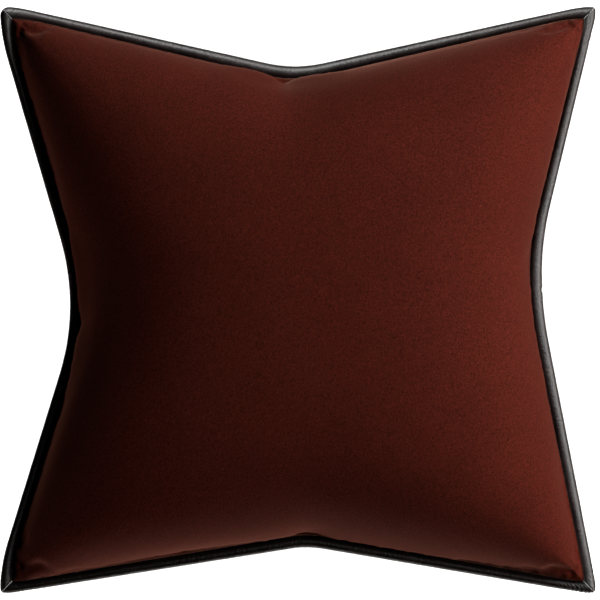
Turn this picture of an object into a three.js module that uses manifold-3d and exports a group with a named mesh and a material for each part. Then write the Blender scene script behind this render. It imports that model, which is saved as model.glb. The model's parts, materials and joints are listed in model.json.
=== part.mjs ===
// A plump square cushion with a piped edge, lying on its back with its face up.
// X runs along its bottom edge, Y towards its top edge and Z up from the face it rests on.
import * as THREE from 'three';
import Module from 'manifold-3d';
import { mergeVertices } from 'three/addons/utils/BufferGeometryUtils.js';

const wasm = await Module();
wasm.setup();

// Driving dimensions, in millimetres
const coverWidth = 518;          // corner to corner along X, over the welt
const coverDepth = 510;          // corner to corner along Y, over the welt
const pillowHeight = 185;        // rest face to crown
const seamHeight = 88;           // rest face to the middle of the welt
const restSink = 5;              // how far the resting crown is pressed flat
const weltDiameter = 9.5;
const leatherThickness = 0.9;
const velvetThickness = 1.6;     // ground cloth and pile together
const foldThickness = 0.8;       // velvet pressed flat in the seam
const tickingThickness = 0.6;
const allowance = 12;            // seam allowance, from the welt inwards
const insertClearance = 4;       // around the insert's own seam
const zipLength = 300;           // straight distance between the two ends of the zip
const zipRadius = 575;           // the gentle curve of the zip, seen from above
const tapeThickness = 0.6;
const rowWidth = 1.7;            // one row of coil, across the zip
const rowThickness = 1.7;
const rowSplit = 1.4;            // between the two rows
const sliderLength = 9;
const sliderWidth = 7.3;
const plateThickness = 1;
const pullerLength = 20;
const pullerThickness = 0.9;
const stopLength = 2.5;
const zipTail = 12;              // bare tape beyond the bottom stop, under the puller when open
const fitGap = 0.3;              // between pieces that touch
const runGap = 0.35;             // between the slider and what it runs on

// Shape of the crown: a higher power keeps it broad, a lower fullness steepens its rim
const crownPower = 2.3;
const coverFullness = 0.52;
const insertFullness = 0.48;

// Each side's dip between its corners, where along it the dip is deepest, and the lengths
// over which it turns away from a corner and rounds into its valley
const sides = {
  bottom: { dip: 40, valley: 0.515, ease: 15, round: 15 },
  right: { dip: 47, valley: 0.545, ease: 15, round: 60 },
  top: { dip: 52, valley: 0.495, ease: 25, round: 25 },
  left: { dip: 61, valley: 0.49, ease: 45, round: 60 },
};

const cells = 16;                // lattice cells across each panel
const ringSides = 10;            // flats around the welt
const cordSides = 8;             // flats around the filler cord
const zipStep = 16;              // longest straight step along the zip

// Sizes that follow from the ones above
const weltRadius = weltDiameter / 2;
const boreRadius = weltRadius - leatherThickness;
const flangeHalf = leatherThickness + 0.1;
const rim = flangeHalf + fitGap;
const seamHalfX = coverWidth / 2 - weltRadius;
const seamHalfY = coverDepth / 2 - weltRadius;
const panelInset = weltRadius + fitGap;
const frontHeight = pillowHeight - seamHeight;
const backHeight = seamHeight + restSink;
const rowHalf = rowSplit / 2 + rowWidth;
const chainDrop = weltRadius + 1.1 + sliderWidth / 2;
const slotDrop = chainDrop + sliderWidth / 2 + 0.85;
const zipHalfAngle = Math.asin(zipLength / 2 / zipRadius);
const slotHalfAngle = zipHalfAngle + 1 / zipRadius;
const tapeHalfAngle = slotHalfAngle - 0.5 / zipRadius;
const rowEndAngle = zipHalfAngle - (stopLength + fitGap) / zipRadius;
const rowStartAngle = zipTail / zipRadius - rowEndAngle;
const sliderAngle = rowEndAngle - (sliderLength / 2 + fitGap) / zipRadius;

const velvet = { color: 0x6b2a20, roughness: 0.95, metalness: 0 };
const leather = { color: 0x17110f, roughness: 0.45, metalness: 0 };
const cotton = { color: 0xd8d0c0, roughness: 0.9, metalness: 0 };
const ticking = { color: 0xe9e5da, roughness: 0.9, metalness: 0 };
const feather = { color: 0xf3efe6, roughness: 1, metalness: 0 };
const tape = { color: 0x3a1a15, roughness: 0.85, metalness: 0 };
const nylon = { color: 0x45201a, roughness: 0.5, metalness: 0 };
const zinc = { color: 0x6f6862, roughness: 0.35, metalness: 1 };

const cushion = new THREE.Group();

// Turns a mesh right side out if its faces look inwards
function outward(geometry) {
  const at = (corner) => new THREE.Vector3().fromBufferAttribute(
    geometry.attributes.position, geometry.index.getX(corner));
  let volume = 0;
  for (let corner = 0; corner < geometry.index.count; corner += 3) {
    volume += at(corner).dot(at(corner + 1).cross(at(corner + 2)));
  }
  if (volume < 0) geometry.index.array.reverse();
  return geometry;
}

function closedMesh(points, faces) {
  const geometry = new THREE.BufferGeometry().setFromPoints(points);
  geometry.setIndex(faces);
  return outward(geometry);
}

function addPiece(name, geometry, look, parent = cushion) {
  geometry.computeVertexNormals();
  const piece = new THREE.Mesh(geometry, new THREE.MeshStandardMaterial(look));
  piece.name = name;
  parent.add(piece);
  return piece;
}

function toSolid(geometry) {
  const bare = geometry.clone();
  bare.deleteAttribute('normal');
  bare.deleteAttribute('uv');
  const merged = mergeVertices(bare, 1e-4);
  return new wasm.Manifold(new wasm.Mesh({
    numProp: 3,
    vertProperties: new Float32Array(merged.attributes.position.array),
    triVerts: new Uint32Array(merged.index.array),
  }));
}

function toGeometry(solid) {
  const mesh = solid.getMesh();
  const geometry = new THREE.BufferGeometry();
  geometry.setAttribute('position', new THREE.BufferAttribute(mesh.vertProperties, 3));
  geometry.setIndex(new THREE.BufferAttribute(mesh.triVerts, 1));
  return geometry;
}

// ---- Outline of the seam ----

// Depth of a side's dip at a fraction of its length: eased corner, straight flank, rounded valley
function dipAt(side, fraction, length) {
  const beforeValley = fraction < side.valley;
  const run = (beforeValley ? side.valley : 1 - side.valley) * length;
  const distance = (beforeValley ? fraction : 1 - fraction) * length;
  const slope = side.dip / (run - (side.ease + side.round) / 2);
  if (distance < side.ease) return slope * distance ** 2 / (2 * side.ease);
  if (distance > run - side.round) return side.dip - slope * (run - distance) ** 2 / (2 * side.round);
  return slope * (distance - side.ease / 2);
}

// A point on one side of the outline, moved in from the seam line by inset
function edgePoint(name, fraction, inset) {
  const halfX = seamHalfX - inset;
  const halfY = seamHalfY - inset;
  const along = 2 * fraction - 1;
  if (name === 'bottom' || name === 'top') {
    const dip = dipAt(sides[name], fraction, 2 * halfX);
    return new THREE.Vector2(along * halfX, name === 'top' ? halfY - dip : dip - halfY);
  }
  const dip = dipAt(sides[name], fraction, 2 * halfY);
  return new THREE.Vector2(name === 'right' ? halfX - dip : dip - halfX, along * halfY);
}

// Fraction along a side of one lattice line: close together at the corners and near the valley
function stationAt(name, index) {
  const valley = sides[name].valley;
  const steps = Math.min(index, cells - index) / (cells / 2);
  const eased = (1 - Math.cos(steps * Math.PI / 2)) / 2 + (1 - Math.cos(steps * Math.PI)) / 4;
  return index <= cells / 2 ? valley * eased : 1 - (1 - valley) * eased;
}

// ---- Path of the zip ----

// The zip is an arc through two points of the bottom seam, about a centre beyond that edge
const valleyAlong = sides.bottom.valley;
const zipEnds = [-1, 1].map((end) => edgePoint(
  'bottom', valleyAlong + end * zipLength / 2 / (2 * seamHalfX), 0));
const zipAlong = zipEnds[1].clone().sub(zipEnds[0]).normalize();
const zipInward = new THREE.Vector2(-zipAlong.y, zipAlong.x);
const zipCentre = zipEnds[0].clone().add(zipEnds[1]).multiplyScalar(0.5)
  .addScaledVector(zipInward, -zipRadius * Math.cos(zipHalfAngle));

// A point at an angle along the zip, reach inwards from its arc and drop below the seam
function zipPoint(angle, reach, drop) {
  const spot = zipCentre.clone()
    .addScaledVector(zipAlong, (zipRadius + reach) * Math.sin(angle))
    .addScaledVector(zipInward, (zipRadius + reach) * Math.cos(angle));
  return new THREE.Vector3(spot.x, spot.y, seamHeight - drop);
}

// The back panel's bottom edge leaves the welt's line and follows the zip between its ends
function zippedEdge(name, fraction, inset) {
  const spot = edgePoint(name, fraction, inset);
  if (name === 'bottom' && spot.x > zipEnds[0].x && spot.x < zipEnds[1].x) {
    spot.y = zipCentre.y + Math.sqrt((zipRadius + inset) ** 2 - (spot.x - zipCentre.x) ** 2);
  }
  return spot;
}

// ---- Padded forms ----

// One point of the lattice that fills the outline, with its place across each way from -1 to 1
function planPoint(column, row, inset, edge) {
  const spots = ['bottom', 'top'].map((name) => edge(name, stationAt(name, column), inset));
  const flanks = ['left', 'right'].map((name) => edge(name, stationAt(name, row), inset));
  const across = (stationAt('bottom', column) + stationAt('top', column)) / 2;
  const up = (stationAt('left', row) + stationAt('right', row)) / 2;
  const u = 2 * across - 1;
  const v = 2 * up - 1;
  const spot = new THREE.Vector2(-u * (seamHalfX - inset), -v * (seamHalfY - inset))
    .addScaledVector(spots[0], 1 - up).addScaledVector(spots[1], up)
    .addScaledVector(flanks[0], 1 - across).addScaledVector(flanks[1], across);
  return { spot, u, v };
}

// A domed surface. facing is 1 for the face and -1 for the back, base is its height at the rim
// and crown its height in the middle, both from the seam; the back flattens against the floor
function dome({ facing, inset, base, crown, fullness, floor = 0, edge = edgePoint }) {
  return (column, row) => {
    const { spot, u, v } = planPoint(column, row, inset, edge);
    const swell = ((1 - Math.abs(u) ** crownPower) * (1 - Math.abs(v) ** crownPower)) ** fullness;
    const height = seamHeight + facing * (base + (crown - base) * swell);
    return new THREE.Vector3(spot.x, spot.y, Math.max(height, floor));
  };
}

// A ring around the outline at one height
function hoop(inset, height, edge = edgePoint) {
  return (column, row) => {
    const { spot } = planPoint(column, row, inset, edge);
    return new THREE.Vector3(spot.x, spot.y, height);
  };
}

// A closed solid between two lattice surfaces, whose rims are joined through the hoops
function paddedSolid(upper, lower, hoops = []) {
  const points = [];
  const faces = [];
  const gridStart = [0, (cells + 1) ** 2];
  const gridIndex = (start, column, row) => start + row * (cells + 1) + column;
  for (const surface of [upper, lower]) {
    for (let row = 0; row <= cells; row += 1) {
      for (let column = 0; column <= cells; column += 1) points.push(surface(column, row));
    }
  }
  const quad = (a, b, c, d) => faces.push(a, b, c, a, c, d);
  for (let row = 0; row < cells; row += 1) {
    for (let column = 0; column < cells; column += 1) {
      const [top, low] = gridStart.map((start) => [[0, 0], [1, 0], [1, 1], [0, 1]].map(
        ([right, up]) => gridIndex(start, column + right, row + up)));
      // Each cell folds along the diagonal that runs towards the middle of the cushion
      const turn = (column < cells / 2) === (row < cells / 2) ? 0 : 1;
      quad(...[0, 1, 2, 3].map((step) => top[(step + turn) % 4]));
      quad(...[0, 3, 2, 1].map((step) => low[(step + (4 - turn)) % 4]));
    }
  }
  const rimCells = [];
  for (let step = 0; step < cells; step += 1) rimCells.push([step, 0]);
  for (let step = 0; step < cells; step += 1) rimCells.push([cells, step]);
  for (let step = cells; step > 0; step -= 1) rimCells.push([step, cells]);
  for (let step = cells; step > 0; step -= 1) rimCells.push([0, step]);
  const loops = [rimCells.map(([column, row]) => gridIndex(gridStart[0], column, row))];
  for (const ring of hoops) {
    loops.push(rimCells.map(([column, row]) => points.push(ring(column, row)) - 1));
  }
  loops.push(rimCells.map(([column, row]) => gridIndex(gridStart[1], column, row)));
  for (let level = 0; level + 1 < loops.length; level += 1) {
    for (let step = 0; step < rimCells.length; step += 1) {
      const next = (step + 1) % rimCells.length;
      quad(loops[level][next], loops[level][step], loops[level + 1][step], loops[level + 1][next]);
    }
  }
  return closedMesh(points, faces);
}

// ---- Pieces swept along a line ----

// Carries a section along stations, capped at both ends; place puts a section point in space
function sweep(section, bore, stations, place) {
  const outline = THREE.ShapeUtils.isClockWise(section) ? section.toReversed() : section;
  const ring = [...outline, ...bore];
  const points = stations.flatMap((station) => ring.map((point) => place(station, point)));
  const faces = [];
  const wall = (start, count, turn) => {
    for (let step = 0; step + 1 < stations.length; step += 1) {
      for (let corner = 0; corner < count; corner += 1) {
        const near = step * ring.length + start + (turn > 0 ? corner : (corner + 1) % count);
        const beside = step * ring.length + start + (turn > 0 ? (corner + 1) % count : corner);
        faces.push(near, beside, beside + ring.length, near, beside + ring.length, near + ring.length);
      }
    }
  };
  wall(0, outline.length, 1);
  wall(outline.length, bore.length, -1);
  const last = (stations.length - 1) * ring.length;
  for (const [a, b, c] of THREE.ShapeUtils.triangulateShape(outline, bore.length ? [bore] : [])) {
    faces.push(c, b, a, last + a, last + b, last + c);
  }
  return closedMesh(points, faces);
}

function circlePoints(radius, count, from = 0, to = 2 * Math.PI, closed = true) {
  const steps = closed ? count : count - 1;
  return Array.from({ length: count }, (_, step) => {
    const angle = from + (to - from) * step / steps;
    return new THREE.Vector2(radius * Math.cos(angle), radius * Math.sin(angle));
  });
}

function boxPoints(reachFrom, reachTo, dropFrom, dropTo) {
  return [[reachFrom, dropFrom], [reachTo, dropFrom], [reachTo, dropTo], [reachFrom, dropTo]].map(
    ([reach, drop]) => new THREE.Vector2(reach, drop));
}

// Places a section point beside one side of the seam: x is inwards and y is up
function alongSeam(name) {
  return (fraction, point) => {
    const spot = edgePoint(name, fraction, point.x);
    return new THREE.Vector3(spot.x, spot.y, seamHeight + point.y);
  };
}

// Stations along a side that stop just short of the mitre at each corner
function seamStations(name) {
  const shortOf = fitGap * Math.SQRT1_2 / (2 * Math.min(seamHalfX, seamHalfY));
  return Array.from({ length: cells + 1 }, (_, index) => (
    THREE.MathUtils.clamp(stationAt(name, index), shortOf, 1 - shortOf)));
}

// Stations along the zip, as angles
function zipStations(from, to) {
  const steps = Math.ceil((to - from) * zipRadius / zipStep);
  return Array.from({ length: steps + 1 }, (_, step) => from + (to - from) * step / steps);
}

const alongZip = (angle, point) => zipPoint(angle, point.x, point.y);

// ---- Cover ----

const backLook = { facing: -1, fullness: coverFullness, edge: zippedEdge };
const backOuter = dome({ ...backLook, inset: panelInset, base: rim, crown: backHeight });
const backInner = dome({
  ...backLook,
  inset: panelInset + velvetThickness,
  base: rim + foldThickness,
  crown: backHeight - velvetThickness,
  floor: velvetThickness,
});

function frontPanel() {
  const upper = dome({
    facing: 1, inset: panelInset, base: rim, crown: frontHeight, fullness: coverFullness });
  const lower = dome({
    facing: 1,
    inset: panelInset + velvetThickness,
    base: rim + foldThickness,
    crown: frontHeight - velvetThickness,
    fullness: coverFullness,
  });
  return paddedSolid(upper, lower, [
    hoop(panelInset + allowance, seamHeight + rim),
    hoop(panelInset + allowance, seamHeight + rim + foldThickness),
  ]);
}

function backPanel() {
  const bowl = paddedSolid(backOuter, backInner, [
    hoop(panelInset + allowance, seamHeight - rim, zippedEdge),
    hoop(panelInset + allowance, seamHeight - rim - foldThickness, zippedEdge),
  ]);
  const slot = sweep(
    boxPoints(-weltDiameter, 2 * allowance, -rim, slotDrop),
    [], zipStations(-slotHalfAngle, slotHalfAngle), alongZip);
  return toGeometry(toSolid(bowl).subtract(toSolid(slot)));
}

// The welt's leather: a tube with a flat flange that lies between the two panels
function weltLeather(name) {
  const mouth = Math.asin(flangeHalf / weltRadius);
  const section = [
    ...circlePoints(weltRadius, ringSides + 1, mouth, 2 * Math.PI - mouth, false),
    new THREE.Vector2(weltRadius + allowance, -flangeHalf),
    new THREE.Vector2(weltRadius + allowance, flangeHalf),
  ];
  return sweep(section, circlePoints(boreRadius, cordSides), seamStations(name), alongSeam(name));
}

function weltCord(name) {
  const section = circlePoints(boreRadius - fitGap, cordSides);
  return sweep(section, [], seamStations(name), alongSeam(name));
}

// ---- Zip ----

// Where the back panel's inner face lies at a drop below the seam, on each lattice line by the zip
function wallAlong(drop) {
  const margin = 4 * seamHalfX / cells;
  const wall = [];
  for (let column = 0; column <= cells; column += 1) {
    let row = 0;
    while (backInner(column, row + 1).z > seamHeight - drop && row < cells / 2) row += 1;
    const [high, low] = [backInner(column, row), backInner(column, row + 1)];
    const spot = high.clone().lerp(low, (high.z - seamHeight + drop) / (high.z - low.z));
    if (spot.x > zipEnds[0].x - margin && spot.x < zipEnds[1].x + margin) {
      const away = new THREE.Vector2(spot.x, spot.y).sub(zipCentre);
      const angle = Math.atan2(away.dot(zipAlong), away.dot(zipInward));
      wall.push({ angle, reach: away.length() - zipRadius });
    }
  }
  return wall;
}

function reachAt(wall, angle) {
  const next = wall.findIndex((spot) => spot.angle > angle);
  const [before, after] = [wall[next - 1], wall[next]];
  const share = (angle - before.angle) / (after.angle - before.angle);
  return THREE.MathUtils.lerp(before.reach, after.reach, share);
}

const tapeOverlap = 6;           // tape hidden behind the edge of the panel
const slotWall = wallAlong(slotDrop);
const tapeReach = fitGap + Math.max(
  ...zipStations(-tapeHalfAngle, tapeHalfAngle).map((angle) => reachAt(slotWall, angle)));
const flangeReach = 4;           // tape lying under the welt's flange

// How far in from the seam line the zip's tapes reach at their deepest
function zipIntrusion() {
  return Math.max(...zipStations(-tapeHalfAngle, tapeHalfAngle).map((angle) => {
    const spot = zipPoint(angle, tapeReach + flangeReach, 0);
    return spot.y - edgePoint('bottom', (spot.x / seamHalfX + 1) / 2, 0).y;
  }));
}

// The upper tape turns inwards under the welt's flange
function upperTape() {
  const underFlange = rim;
  const section = [
    [tapeReach, chainDrop - rowSplit / 2 - 0.2],
    [tapeReach, underFlange],
    [tapeReach + flangeReach, underFlange],
    [tapeReach + flangeReach, underFlange + tapeThickness],
    [tapeReach + tapeThickness, underFlange + tapeThickness],
    [tapeReach + tapeThickness, chainDrop - rowSplit / 2 - 0.2],
  ].map(([reach, drop]) => new THREE.Vector2(reach, drop));
  return sweep(section, [], zipStations(-tapeHalfAngle, tapeHalfAngle), alongZip);
}

// The lower tape hangs straight past the slot, then lies against the inside of the back panel
function lowerTape() {
  const top = chainDrop + rowSplit / 2 + 0.2;
  const bend = slotDrop - fitGap;
  const foot = slotDrop + tapeOverlap;
  const section = [
    [0, top], [tapeThickness, top], [tapeThickness, bend], [tapeThickness, foot], [0, foot], [0, bend],
  ].map(([depth, drop]) => new THREE.Vector2(depth, drop));
  const wall = wallAlong(foot);
  return sweep(section, [], zipStations(-tapeHalfAngle, tapeHalfAngle), (angle, point) => {
    const seat = point.y === foot ? reachAt(wall, angle) + 2 * fitGap : tapeReach;
    return zipPoint(angle, seat + point.x, point.y);
  });
}

// A strip of coil or a stop that sits on the outer face of the tapes, between two drops
function onTape(dropFrom, dropTo, from, to) {
  const section = boxPoints(tapeReach - fitGap - rowThickness, tapeReach - fitGap, dropFrom, dropTo);
  return sweep(section, [], zipStations(from, to), alongZip);
}

const upperRow = [chainDrop - rowHalf, chainDrop - rowSplit / 2];
const lowerRow = [chainDrop + rowSplit / 2, chainDrop + rowHalf];

// A block between two corners, in the slider's own frame: x along the zip, y inwards, z up
function block([fromX, fromY, fromZ], [toX, toY, toZ]) {
  const geometry = new THREE.BoxGeometry(toX - fromX, toY - fromY, toZ - fromZ);
  geometry.translate((fromX + toX) / 2, (fromY + toY) / 2, (fromZ + toZ) / 2);
  return toSolid(geometry);
}

// Depths of the slider's parts, outwards from the tapes
const plateInner = -(fitGap + rowThickness + runGap);
const plateOuter = plateInner - plateThickness;
const tunnelHeight = pullerThickness + 0.9;
const tunnelHalf = 1.3;
const bridgeThickness = 0.8;
const bridgeHalfWidth = 0.8;
const pullerDepth = plateOuter - tunnelHeight / 2;

// Two plates joined by a neck between the rows, flanges that hold the rows, and a bridge
function sliderBody() {
  const halfLength = sliderLength / 2;
  const halfWidth = sliderWidth / 2;
  const lip = rowHalf + runGap;
  const innerPlate = tapeThickness + runGap;
  const neckHalf = rowSplit / 2 - fitGap;
  const bridgeTop = plateOuter - tunnelHeight;
  const post = tunnelHalf + bridgeThickness;
  const parts = [
    block([-halfLength, innerPlate, -halfWidth], [halfLength, innerPlate + 0.8, halfWidth]),
    block([halfLength - 3, plateInner, -neckHalf], [halfLength - 0.5, innerPlate + 0.4, neckHalf]),
    block([-halfLength, plateInner, lip], [halfLength, -runGap, halfWidth]),
    block([-halfLength, plateInner, -halfWidth], [halfLength, -runGap, -lip]),
    block([-post, bridgeTop, -bridgeHalfWidth], [-tunnelHalf, plateOuter, bridgeHalfWidth]),
    block([tunnelHalf, bridgeTop, -bridgeHalfWidth], [post, plateOuter, bridgeHalfWidth]),
    block([-post, bridgeTop - bridgeThickness, -bridgeHalfWidth], [post, bridgeTop, bridgeHalfWidth]),
  ];
  const plate = block([-halfLength, plateOuter, -halfWidth], [halfLength, plateInner, halfWidth]);
  return toGeometry(parts.reduce((whole, part) => whole.add(part), plate));
}

// A flat tear-drop tongue; its end bar lies in the slider's tunnel, at its own origin
function pullerTongue() {
  const barHalf = pullerThickness / 2;
  const rootHalf = 2.4;
  const tipRadius = 3;
  const eyeEnd = -(tunnelHalf + bridgeThickness + 1.1);
  const eyeHalf = bridgeHalfWidth + 0.4;
  const tongue = new THREE.Shape();
  tongue.moveTo(barHalf, -rootHalf);
  tongue.lineTo(barHalf, rootHalf);
  tongue.lineTo(eyeEnd - 2, rootHalf);
  tongue.lineTo(tipRadius - pullerLength, tipRadius);
  tongue.absarc(tipRadius - pullerLength, 0, tipRadius, Math.PI / 2, Math.PI * 3 / 2, false);
  tongue.lineTo(eyeEnd - 2, -rootHalf);
  const eye = new THREE.Path();
  eye.moveTo(-barHalf, -eyeHalf);
  eye.lineTo(eyeEnd, -eyeHalf);
  eye.lineTo(eyeEnd, eyeHalf);
  eye.lineTo(-barHalf, eyeHalf);
  tongue.holes.push(eye);
  const geometry = new THREE.ExtrudeGeometry(tongue, {
    depth: pullerThickness, bevelEnabled: false, curveSegments: 5 });
  geometry.translate(0, 0, -pullerThickness / 2);
  geometry.rotateX(Math.PI / 2);
  return toGeometry(toSolid(geometry));
}

// ---- Insert ----

const insertInset = Math.max(panelInset + allowance, zipIntrusion()) + insertClearance;

// One surface of the insert, depth in from the face of its ticking
function insertDome(facing, depth, base) {
  const crown = facing > 0 ? frontHeight : backHeight;
  const cover = velvetThickness + fitGap;
  return dome({
    facing,
    inset: insertInset + depth,
    base,
    crown: crown - cover - depth,
    fullness: insertFullness,
    floor: facing > 0 ? 0 : cover + depth,
  });
}

function tickingPanel(facing) {
  return paddedSolid(
    insertDome(facing, 0, fitGap / 2), insertDome(facing, tickingThickness, fitGap / 2));
}

function insertFill() {
  const depth = tickingThickness + fitGap;
  return paddedSolid(insertDome(1, depth, fitGap / 2), insertDome(-1, depth, fitGap / 2));
}

// ---- Assembly ----

addPiece('front_panel', frontPanel(), velvet);
addPiece('back_panel', backPanel(), velvet);
for (const name of Object.keys(sides)) {
  addPiece(`welt_${name}`, weltLeather(name), leather);
  addPiece(`welt_cord_${name}`, weltCord(name), cotton);
}
addPiece('insert_ticking_front', tickingPanel(1), ticking);
addPiece('insert_ticking_back', tickingPanel(-1), ticking);
addPiece('insert_fill', insertFill(), feather);
addPiece('zip_tape_upper', upperTape(), tape);
addPiece('zip_tape_lower', lowerTape(), tape);
addPiece('zip_coil_upper', onTape(...upperRow, rowStartAngle, rowEndAngle), nylon);
addPiece('zip_coil_lower', onTape(...lowerRow, rowStartAngle, rowEndAngle), nylon);
const topStop = [rowEndAngle + fitGap / zipRadius, zipHalfAngle];
const bottomStop = [zipTail / zipRadius - zipHalfAngle, rowStartAngle - fitGap / zipRadius];
addPiece('zip_top_stop_upper', onTape(...upperRow, ...topStop), zinc);
addPiece('zip_top_stop_lower', onTape(...lowerRow, ...topStop), zinc);
addPiece('zip_bottom_stop', onTape(upperRow[0], lowerRow[1], ...bottomStop), zinc);

// The slider stands at the closed end of the zip, with its puller flat over the closed rows
const slider = new THREE.Group();
slider.position.copy(zipPoint(sliderAngle, tapeReach, chainDrop));
slider.rotation.z = zipAlong.angle() - sliderAngle;
cushion.add(slider);
addPiece('zip_slider', sliderBody(), zinc, slider);
addPiece('zip_puller', pullerTongue(), zinc, slider).position.y = pullerDepth;

export default cushion;
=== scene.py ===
import json
import math
import bpy
import bmesh
import numpy as np
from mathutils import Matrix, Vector


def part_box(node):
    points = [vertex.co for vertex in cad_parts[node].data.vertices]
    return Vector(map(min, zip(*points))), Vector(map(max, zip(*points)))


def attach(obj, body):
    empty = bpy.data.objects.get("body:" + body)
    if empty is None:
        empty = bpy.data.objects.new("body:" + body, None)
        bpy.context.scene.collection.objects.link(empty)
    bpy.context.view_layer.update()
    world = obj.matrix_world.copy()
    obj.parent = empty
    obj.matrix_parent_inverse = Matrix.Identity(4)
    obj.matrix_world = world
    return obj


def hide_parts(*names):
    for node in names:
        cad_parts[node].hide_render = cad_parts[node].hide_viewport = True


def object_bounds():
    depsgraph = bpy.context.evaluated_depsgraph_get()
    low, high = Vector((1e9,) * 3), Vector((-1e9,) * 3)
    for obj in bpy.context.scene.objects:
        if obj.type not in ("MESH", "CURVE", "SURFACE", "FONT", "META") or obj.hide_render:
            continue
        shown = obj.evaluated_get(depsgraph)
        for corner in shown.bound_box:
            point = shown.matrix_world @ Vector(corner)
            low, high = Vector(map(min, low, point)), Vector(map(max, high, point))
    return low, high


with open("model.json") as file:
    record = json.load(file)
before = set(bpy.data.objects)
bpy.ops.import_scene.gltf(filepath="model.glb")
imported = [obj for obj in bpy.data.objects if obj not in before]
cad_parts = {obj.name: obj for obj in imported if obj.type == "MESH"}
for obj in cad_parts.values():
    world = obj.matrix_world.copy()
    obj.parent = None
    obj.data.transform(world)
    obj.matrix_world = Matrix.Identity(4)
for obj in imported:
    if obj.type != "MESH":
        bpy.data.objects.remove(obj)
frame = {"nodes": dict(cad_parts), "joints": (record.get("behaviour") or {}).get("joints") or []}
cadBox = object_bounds()
mm = 0.001

# the cover, in millimetres where it isn't a share or a count
cover = {
    "weltDiameter": 9.5,
    "rim": 1.3,              # from the middle of the seam to the velvet on either side
    "gap": 1.0,              # between the welt and the velvet's edge
    "cutSize": 516,          # side of each square panel before it is sewn
    "slotDrop": 14,          # how far below the seam the velvet starts along the zip
    "velvet": 1.6,
    "backing": 0.7,          # share of the velvet's thickness that is cloth rather than pile
    "crownPower": 2.3,       # how flat the middle of each panel is at the start
    "fullness": 0.52,        # how soon it rises from the seam; less is sooner
    "restSink": 5,           # how much the start presses the back into the floor
    "startLift": 1.5,        # how high the back's middle starts above the floor
    "crownRoom": 1,          # from the top of the frame to the top of the filled velvet
    "farthest": 30,          # that filling may move any point
    "shoulder": 0.4,         # how much more the filling packs the shoulders than the crown
    "lines": 88,             # lattice cells across a panel
    "finestStep": 3.2,       # longest step along the cloth once its lines are refined
    "edgeSplits": 8,         # parts that the first and the last cell are cut into
    "restHeight": 3,         # the back is pressed smooth up to here, and folds come in over restEase
    "restEase": 20,
    "floorGap": 0.4,
}

# dip of each side, where along it the dip is deepest, and how softly it leaves the corner
# and rounds its lowest point; millimetres except for the valley's share of the side
sides = {
    "bottom": {"dip": 40, "valley": 0.515, "ease": 15, "round": 15},
    "right": {"dip": 47, "valley": 0.545, "ease": 15, "round": 60},
    "top": {"dip": 52, "valley": 0.495, "ease": 25, "round": 25},
    "left": {"dip": 61, "valley": 0.49, "ease": 45, "round": 60},
}

weltRadius = cover["weltDiameter"] / 2 * mm
halfX = cadBox[1].x - weltRadius
halfY = cadBox[1].y - weltRadius
seamZ = sum(corner.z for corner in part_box("welt_top")) / 2
crownZ = cadBox[1].z
seamInset = weltRadius + cover["gap"] * mm


def stage(words):
    print("scene:", words, flush=True)


# nodes and colours

def hexColour(code):
    parts = [int(code[i:i + 2], 16) / 255 for i in (1, 3, 5)]
    linear = [p / 12.92 if p <= 0.04045 else ((p + 0.055) / 1.055) ** 2.4 for p in parts]
    return (*linear, 1)


def addNode(tree, kind, links=None, **settings):
    node = tree.nodes.new("ShaderNode" + kind)
    for name, value in settings.items():
        setattr(node, name, value)
    for socket, value in (links or {}).items():
        if isinstance(value, bpy.types.NodeSocket):
            tree.links.new(value, node.inputs[socket])
        else:
            node.inputs[socket].default_value = value
    return node


def newMaterial(name):
    material = bpy.data.materials.new(name)
    material.use_nodes = True
    tree = material.node_tree
    tree.nodes.clear()
    place = addNode(tree, "TexCoord").outputs["Object"]
    shader = addNode(tree, "BsdfPrincipled")
    output = addNode(tree, "OutputMaterial", {"Surface": shader.outputs[0]})
    output.is_active_output = True
    return material, tree, place, shader


def setShader(shader, **values):
    for name, value in values.items():
        shader.inputs[name.replace("_", " ")].default_value = value


def rampBetween(tree, factor, low, high, start=0.3, end=0.7):
    ramp = addNode(tree, "ValToRGB", {"Fac": factor})
    ramp.color_ramp.elements[0].color = low
    ramp.color_ramp.elements[0].position = start
    ramp.color_ramp.elements[1].color = high
    ramp.color_ramp.elements[1].position = end
    return ramp.outputs["Color"]


# scales are noise cells to the metre
pile = {
    "twill": 1500,           # real twill lines are 0.5 mm apart, drawn at 0.7 mm so that they show
    "twillLean": 34,         # degrees to the left
    "twillStretch": (1, 3.2, 1.6),
    "tufts": 2000,           # real tufts stand 0.3 mm apart, drawn in clumps of 0.5 mm
    "depth": (0.3, 1.08),    # how dark and how bright a tuft may be
    "contrast": 1.5,
    "turned": 20,            # patches of 30 to 60 mm where a hand has turned the pile
    "lint": 420,
    "relief": 0.1,
}


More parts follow.
